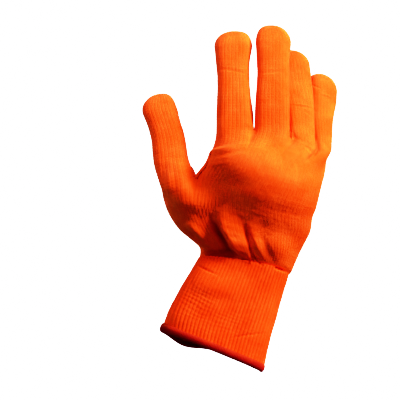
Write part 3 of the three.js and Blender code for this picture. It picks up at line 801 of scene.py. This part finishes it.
def make_sleeve(node, before, keys, after, axes, material, groove=False):
    """A sleeve of plain knit, open at both ends."""
    smooth, courses = loft(before, keys, after, COURSE, COURSE_ROWS)
    normals = normals_of(smooth)
    lift, folds = cloth_height(smooth, normals)
    if groove:
        away = np.linalg.norm(smooth - smooth[0], axis=2)
        lift *= np.clip(away / GROOVE_REACH, 0, 1) ** GROOVE_FADE
        lift += groove_height(smooth, normals, 0, "palm")
    cloth = smooth + normals * lift[..., None]
    outer = cloth + normals_of(cloth) * knit_height(cloth, courses)[..., None]
    inner, rows = inside_of(cloth, normals, KNIT_WALL, {0: axes[0], -1: axes[1]})
    mesh = shell_mesh(node, outer, inner, rows, courses, folds)
    add_piece(node, mesh, material)


def make_cuff(before, keys, after, axes, material):
    """The ribbed cuff. Returns its smooth lower edge, and the outward direction at each point."""
    smooth, courses = loft(before, keys, after, RIB_COURSE, RIB_COURSE_ROWS)
    normals = normals_of(smooth)
    lift, folds = cloth_height(smooth, normals)
    lift += groove_height(smooth, normals, -1, "cuff")
    cloth = smooth + normals * lift[..., None]
    relief = rib_height(cloth, courses) + RIB_HEIGHT / 2
    outer = cloth + normals_of(cloth) * relief[..., None]
    inner, rows = inside_of(cloth, normals, CUFF_WALL, {0: axes[0], -1: axes[1]})
    mesh = shell_mesh("rib_cuff", outer, inner, rows, courses, folds)
    add_piece("rib_cuff", mesh, material)
    return cloth[0], normals[0]


# The hem's overlock stitches: wraps of thread side by side round the cuff's edge
WRAP_COUNT = 168
WRAP_POINTS = 7  # mesh points across a wrap
PROFILE_POINTS = 24  # mesh points round the band's section
PROFILE_POWER = 2.5  # 2 makes the section an ellipse, and more makes it squarer
WRAP_HEIGHT = 0.34
WRAP_SUNK = 0.7  # share of a wrap's height that lies below the plain band
WRAP_SLANT = 0.9  # how far a wrap leans along the hem on its way round the edge, in wraps
HEM_WOBBLE = {"size": 11.0, "height": 0.06, "seed": 31}
HEM_SHADE = 4.0  # how fast painted shade turns the thread from orange to dark red towards its underside, round the edge
HEM_SHADE_EDGE = 0.6  # about where that begins, from -1 at the band's bottom to 1 at its top
HEM_LOBE = {"reach": 9.0, "swell": 0.4}  # the thicker turn of the hem at its left end


def make_hem(edge, edge_normals, axis, material):
    """The rounded band of thread that binds the cuff's lower edge."""
    line = edge - edge_normals * CUFF_WALL / 2
    closed = np.concatenate([line, line[:1]])
    line = resample(closed, WRAP_COUNT * WRAP_POINTS)[:-1]
    line = line - axis * (HEM_HEIGHT / 2 - HEM_OVERLAP)
    along = unit(np.roll(line, -1, axis=0) - np.roll(line, 1, axis=0))
    outwards = unit(np.cross(along, axis))
    angle = 2 * math.pi * np.arange(PROFILE_POINTS) / PROFILE_POINTS
    power = 2 / PROFILE_POWER
    out, up = signed_power(np.cos(angle), power), signed_power(np.sin(angle), power)
    wrap = np.arange(len(line)) / WRAP_POINTS
    lean = WRAP_SLANT * np.abs(angle / math.pi - 1)
    ridge = np.abs(np.cos(math.pi * (wrap[None, :] - lean[:, None])))
    relief = WRAP_HEIGHT * (ridge - WRAP_SUNK)
    from_end = line[:, 0] - line[:, 0].min()
    lobe = HEM_LOBE["swell"] * np.exp(-((from_end / HEM_LOBE["reach"]) ** 2))
    swell = 1 + bumps(line, HEM_WOBBLE) + lobe
    thick = (HEM_THICKNESS / 2) * swell + relief
    tall = (HEM_HEIGHT / 2) * np.sqrt(swell) + relief
    points = line + outwards * (out[:, None] * thick)[..., None]
    points += axis * (up[:, None] * tall)[..., None]
    parts = MeshParts(WRAP_COUNT)
    parts.add_points(points)
    numbers, round_cuff, round_edge = quads(PROFILE_POINTS + 1, len(line))
    numbers %= PROFILE_POINTS * len(line)  # the last row is the first one again
    share = round_edge / PROFILE_POINTS
    parts.add_faces("whole", numbers, round_cuff / len(line), share, share, flip=True)
    # Painted shade: the band's lower side is darkened as if shaded from the light above
    underside_shade = np.repeat(HEM_SHADE * (up - HEM_SHADE_EDGE), len(line))
    mesh = make_mesh("bound_hem_thread", parts, [], underside_shade)
    add_piece("bound_hem", mesh, material)


# The yarns: two shades, and the painted shade of deep creases and of the hem's underside, as linear
# light, how many twisted plies lie across a wale, how far they slant, and the sheen of the fibres
PLAIN_YARN, RIB_YARN, HEM_THREAD = table("base deep hollow plies slant sheen", [
    [(0.88, 0.145, 0.030, 1), (0.80, 0.085, 0.005, 1), (0.42, 0.030, 0.004, 1), 4, 1.3, 0.16],
    [(0.88, 0.120, 0.022, 1), (0.74, 0.060, 0.004, 1), (0.42, 0.030, 0.004, 1), 4, 1.1, 0.12],
    [(0.46, 0.060, 0.022, 1), (0.28, 0.018, 0.018, 1), (0.28, 0.013, 0.020, 1), 5, 3.0, 0.05],
])
SHINE = {
    "Specular IOR Level": 0.22,
    "Sheen Roughness": 0.5,
    "Sheen Tint": (1.0, 0.45, 0.16, 1),
}

# Noise in the yarn, as bumps to a metre, and what its values from low to high are turned into
PATCHES, MOTTLE, ROUGHNESS = table("scale detail low high at_low at_high", [
    [70, 2, 0.35, 0.65, 0, 0.45],
    [1100, 3, 0.3, 0.7, 0.94, 1.04],
    [420, 2, 0.3, 0.7, 0.82, 0.95],
])
FIBRES = {"scale": 3200, "detail": 4, "roughness": 0.7}

# Share of the painted shade in creases by a fold's height in millimetres
PAINTED_SHADE_RAMP = {"low": -3.6, "high": -0.4, "at_low": 0.9, "at_high": 0.0}

# Bumps in metres
TWIST_BUMP = {"distance": 0.00012, "strength": 0.5}
FIBRE_BUMP = {"distance": 0.00012, "strength": 0.45}

# A node that mixes colours has its share and its two colours at these sockets
MIX_INPUTS = (0, 6, 7)
MIX_OUTPUT = 2


def set_inputs(node, values):
    """Sets a node's own values, by the names of its sockets."""
    for name, value in values.items():
        node.inputs[name].default_value = value


class Nodes:
    """Builds the nodes of one material, or of the world."""

    def __init__(self, tree):
        self.tree = tree

    def add(self, kind, **settings):
        """A new node with those settings."""
        node = self.tree.nodes.new(kind)
        for key, value in settings.items():
            setattr(node, key, value)
        return node

    def link(self, output, target):
        """Links a node's output to another node's input."""
        self.tree.links.new(output, target)

    def feed(self, sockets, values):
        """Gives each input a number or a colour, or links it to an output."""
        for socket, value in zip(sockets, values):
            if isinstance(value, (int, float, tuple)):
                socket.default_value = value
            else:
                self.link(value, socket)

    def noise(self, scale, detail, roughness=0.55):
        """Noise in the part's own space, with that many bumps to a metre."""
        place = self.add("ShaderNodeTexCoord")
        node = self.add("ShaderNodeTexNoise")
        set_inputs(node, {"Scale": scale, "Detail": detail, "Roughness": roughness})
        self.link(place.outputs["Object"], node.inputs["Vector"])
        return node.outputs["Fac"]

    def ramp(self, value, low, high, at_low, at_high):
        """A value from low to high turned into one from at_low to at_high, and held at the ends."""
        node = self.add("ShaderNodeMapRange")
        ends = {"From Min": low, "From Max": high, "To Min": at_low, "To Max": at_high}
        set_inputs(node, ends)
        self.link(value, node.inputs["Value"])
        return node.outputs["Result"]

    def noise_ramp(self, scale, detail, **ends):
        """Noise turned into values between the ramp's ends."""
        return self.ramp(self.noise(scale, detail), **ends)

    def calculate(self, operation, first, second=0.0):
        """One sum, product or the like."""
        node = self.add("ShaderNodeMath", operation=operation)
        self.feed(node.inputs, (first, second))
        return node.outputs["Value"]

    def mix(self, share, first, second, blend="MIX"):
        """Two colours mixed by a share."""
        node = self.add("ShaderNodeMix", data_type="RGBA", blend_type=blend)
        self.feed([node.inputs[number] for number in MIX_INPUTS], (share, first, second))
        return node.outputs[MIX_OUTPUT]

    def bump(self, height, distance, strength, below=None):
        """Bumps on the surface, or on other bumps below them."""
        node = self.add("ShaderNodeBump")
        set_inputs(node, {"Distance": distance, "Strength": strength})
        self.link(height, node.inputs["Height"])
        if below is not None:
            self.link(below, node.inputs["Normal"])
        return node.outputs["Normal"]

    def towards(self, direction):
        """How far a ray of the world's light comes from that direction, from -1 to 1."""
        place = self.add("ShaderNodeTexCoord")
        product = self.add("ShaderNodeVectorMath", operation="DOT_PRODUCT")
        self.feed(product.inputs, (place.outputs["Generated"], direction))
        return product.outputs["Value"]


def new_material(name):
    """A material and its surface shader."""
    material = bpy.data.materials.new(name)
    material.use_nodes = True
    return material, material.node_tree.nodes["Principled BSDF"]


def yarn_twist(nodes, plies, slant):
    """Fine slanted ridges of twisted yarn, from the knit map."""
    place = nodes.add("ShaderNodeUVMap", uv_map="knit")
    split = nodes.add("ShaderNodeSeparateXYZ")
    nodes.link(place.outputs["UV"], split.inputs["Vector"])
    climb = nodes.calculate("MULTIPLY", split.outputs["Y"], slant)
    slanted = nodes.calculate("ADD", split.outputs["X"], climb)
    turns = nodes.calculate("MULTIPLY", slanted, 2 * math.pi * plies)
    return nodes.calculate("SINE", turns)


def yarn_material(name, base, deep, hollow, plies, slant, sheen):
    """Matt yarn: soft patches of two shades, painted shade in creases, fibres and twisted plies."""
    material, shader = new_material(name)
    nodes = Nodes(material.node_tree)
    colour = nodes.mix(nodes.noise_ramp(**PATCHES), base, deep)
    # Painted shade: the yarn darkens in deep folds and on the hem's underside, where shade would fall
    fold = nodes.add("ShaderNodeAttribute", attribute_name="fold")
    colour = nodes.mix(nodes.ramp(fold.outputs["Fac"], **PAINTED_SHADE_RAMP), colour, hollow)
    mottle = nodes.noise_ramp(**MOTTLE)
    shade = nodes.add("ShaderNodeCombineXYZ")
    for axis in "XYZ":
        nodes.link(mottle, shade.inputs[axis])
    colour = nodes.mix(1.0, colour, shade.outputs["Vector"], "MULTIPLY")
    nodes.link(colour, shader.inputs["Base Color"])
    twist = nodes.bump(yarn_twist(nodes, plies, slant), **TWIST_BUMP)
    fibres = nodes.bump(nodes.noise(**FIBRES), **FIBRE_BUMP, below=twist)
    nodes.link(fibres, shader.inputs["Normal"])
    nodes.link(nodes.noise_ramp(**ROUGHNESS), shader.inputs["Roughness"])
    set_inputs(shader, {**SHINE, "Sheen Weight": sheen})
    return material


knit_material = yarn_material("plain_knit_yarn", **PLAIN_YARN)
rib_material = yarn_material("rib_knit_yarn", **RIB_YARN)
hem_material = yarn_material("hem_thread_yarn", **HEM_THREAD)

# The four stalls meet along the knuckles, and their outline there is the top of the upper palm.
finger_keys = [stall_rings(stall) for stall in FINGERS]
finger_bases = [keys[0] for keys in finger_keys]
weld_sides(finger_bases)
knuckle_outline = outline_of(finger_bases)
knuckles = pick_line(finger_bases, knuckle_outline)
above_knuckles = pick_line([keys[1] for keys in finger_keys], knuckle_outline)
upper_keys = [section_ring(section, len(knuckles) // 2) for section in UPPER_PALM] + [knuckles]

# The thumb and the upper palm meet the lower palm in the same way.
thumb_keys = stall_rings(THUMB)
hand_bases = [thumb_keys[0], upper_keys[0]]
weld_sides(hand_bases)
hand_outline = outline_of(hand_bases)
crotch = pick_line(hand_bases, hand_outline)
above_crotch = pick_line([thumb_keys[1], upper_keys[1]], hand_outline)
lower_keys = [section_ring(section, len(crotch) // 2) for section in LOWER_PALM] + [crotch]

below_fingers = rings_below(finger_keys, knuckle_outline, upper_keys[-2])
below_hand = rings_below([thumb_keys, upper_keys], hand_outline, lower_keys[-2])
knuckle_axis, crotch_axis = axis_of(knuckles), axis_of(crotch)
part_sides(finger_bases)
part_sides(hand_bases)

for finger, finger_below, keys in zip(FINGERS, below_fingers, finger_keys):
    make_stall(finger, finger_below, keys, knuckle_axis, knit_material)
make_stall(THUMB, below_hand[0], thumb_keys, crotch_axis, knit_material)
upper_axes = (crotch_axis, knuckle_axis)
make_sleeve("upper_palm", below_hand[1], upper_keys, above_knuckles, upper_axes, knit_material)
below_wrist = mirrored(*lower_keys[:2])
wrist_axis = axis_of(lower_keys[0])
lower_axes = (wrist_axis, crotch_axis)
make_sleeve("lower_palm", below_wrist, lower_keys, above_crotch, lower_axes, knit_material, groove=True)

cuff_keys = [section_ring(section, RIB_COUNT * WALE_POINTS // 2) for section in CUFF]
hem_axis = axis_of(cuff_keys[0])
cuff_below = mirrored(*cuff_keys[:2])
cuff_above = mirrored(cuff_keys[-1], cuff_keys[-2])
cuff_axes = (hem_axis, wrist_axis)
edge, edge_normals = make_cuff(cuff_below, cuff_keys, cuff_above, cuff_axes, rib_material)
make_hem(edge, edge_normals, hem_axis, hem_material)

# The studio, in metres
PICTURE = 400  # the picture's width and height in pixels
PIXEL = 0.00075  # size of a pixel at the glove
ORIGIN_PIXEL = (213, 351)  # where the part's origin lies in the picture
CAMERA_DISTANCE = 6.0
SENSOR = 36.0
FLOOR_HEIGHT = -0.07
FLOOR_SIZE = 12.0
FLOOR_PAINT = {
    "Base Color": (0.95, 0.95, 0.95, 1),
    "Roughness": 1.0,
    "Specular IOR Level": 0.0,
}
WHITE = (1, 1, 1, 1)

# Far lights, each with its direction from the glove and its width in degrees
LAMPS = table("name direction strength angle", [
    ["key", (0.76, -0.34, 0.55), 3.3, 22],
    ["back", (0.25, 0.9, 0.4), 0.9, 40],
])

# The even light, brighter than its middle strength towards one direction and darker away from it,
# and cooler towards another
AMBIENT = 0.27
AMBIENT_SLOPE = 0.34
AMBIENT_DIRECTION = (-0.5, 0.0, 0.87)
AMBIENT_LEAST = 0.02
COOL_DIRECTION = (-0.92, 0.20, -0.34)
COOL_TINT = (0.42, 0.85, 1.8, 1)

# Contrast of the picture: how much light a surface sends out, and how bright it is shown
TONES = table("light shown", [
    [0, 0],
    [0.018, 0.002],
    [0.036, 0.0137],
    [0.073, 0.058],
    [0.117, 0.147],
    [0.147, 0.235],
    [0.23, 0.578],
    [0.47, 0.92],
    [0.8, 0.99],
    [1, 1],
])


def add_camera():
    """The camera in front of the glove, with the picture's frame 300 mm wide at the glove."""
    camera = add_object("camera", bpy.data.cameras.new("camera"))
    bpy.context.scene.camera = camera
    x = (PICTURE / 2 - ORIGIN_PIXEL[0]) * PIXEL
    z = (ORIGIN_PIXEL[1] - PICTURE / 2) * PIXEL
    camera.location = (x, -CAMERA_DISTANCE, z)
    camera.rotation_euler = (math.pi / 2, 0, 0)
    camera.data.sensor_width = SENSOR
    camera.data.lens = SENSOR * CAMERA_DISTANCE / (PICTURE * PIXEL)


def add_lamp(name, direction, strength, angle):
    """A soft far light from that direction."""
    light = bpy.data.lights.new(name, "SUN")
    light.energy = strength
    light.angle = math.radians(angle)
    lamp = add_object(name, light)
    lamp.rotation_euler = Vector(direction).to_track_quat("Z", "Y").to_euler()


def add_world():
    """White behind the glove, and a soft light on it that is cooler from the low left."""
    world = bpy.data.worlds.new("studio")
    world.use_nodes = True
    bpy.context.scene.world = world
    world.node_tree.nodes.clear()
    nodes = Nodes(world.node_tree)
    ends = {"at_low": AMBIENT - AMBIENT_SLOPE, "at_high": AMBIENT + AMBIENT_SLOPE}
    slope = nodes.ramp(nodes.towards(AMBIENT_DIRECTION), low=-1, high=1, **ends)
    lighting = nodes.add("ShaderNodeBackground")
    nodes.link(nodes.calculate("MAXIMUM", slope, AMBIENT_LEAST), lighting.inputs["Strength"])
    tint = nodes.mix(nodes.towards(COOL_DIRECTION), WHITE, COOL_TINT)
    nodes.link(tint, lighting.inputs["Color"])
    seen = nodes.add("ShaderNodeBackground")
    set_inputs(seen, {"Color": WHITE})
    path = nodes.add("ShaderNodeLightPath")
    mix = nodes.add("ShaderNodeMixShader")
    sources = (path.outputs["Is Camera Ray"], lighting.outputs[0], seen.outputs[0])
    nodes.feed(mix.inputs, sources)
    output = nodes.add("ShaderNodeOutputWorld")
    nodes.link(mix.outputs[0], output.inputs["Surface"])


def add_floor():
    """A plain pale floor, a little below the glove."""
    half = FLOOR_SIZE / 2
    corners = [(-half, -half), (half, -half), (half, half), (-half, half)]
    mesh = bpy.data.meshes.new("floor")
    mesh.from_pydata([(x, y, FLOOR_HEIGHT) for x, y in corners], [], [(0, 1, 2, 3)])
    floor = add_object("floor", mesh)
    paint, shader = new_material("floor_paint")
    set_inputs(shader, FLOOR_PAINT)
    mesh.materials.append(paint)
    floor.visible_diffuse = False


def set_tones():
    """The picture's strong contrast, as a curve on the light."""
    settings = bpy.context.scene.view_settings
    settings.view_transform = "Standard"
    settings.look = "None"
    settings.use_curve_mapping = True
    mapping = settings.curve_mapping
    mapping.extend = "HORIZONTAL"
    points = mapping.curves[-1].points  # of the curve for all colours together
    for tone in TONES[1:-1]:
        points.new(tone["light"], tone["shown"])
    for point, tone in zip(points, TONES):
        point.location = (tone["light"], tone["shown"])
        point.handle_type = "AUTO_CLAMPED"
    mapping.update()


add_camera()
add_world()
add_floor()
for lamp in LAMPS:
    add_lamp(**lamp)
set_tones()
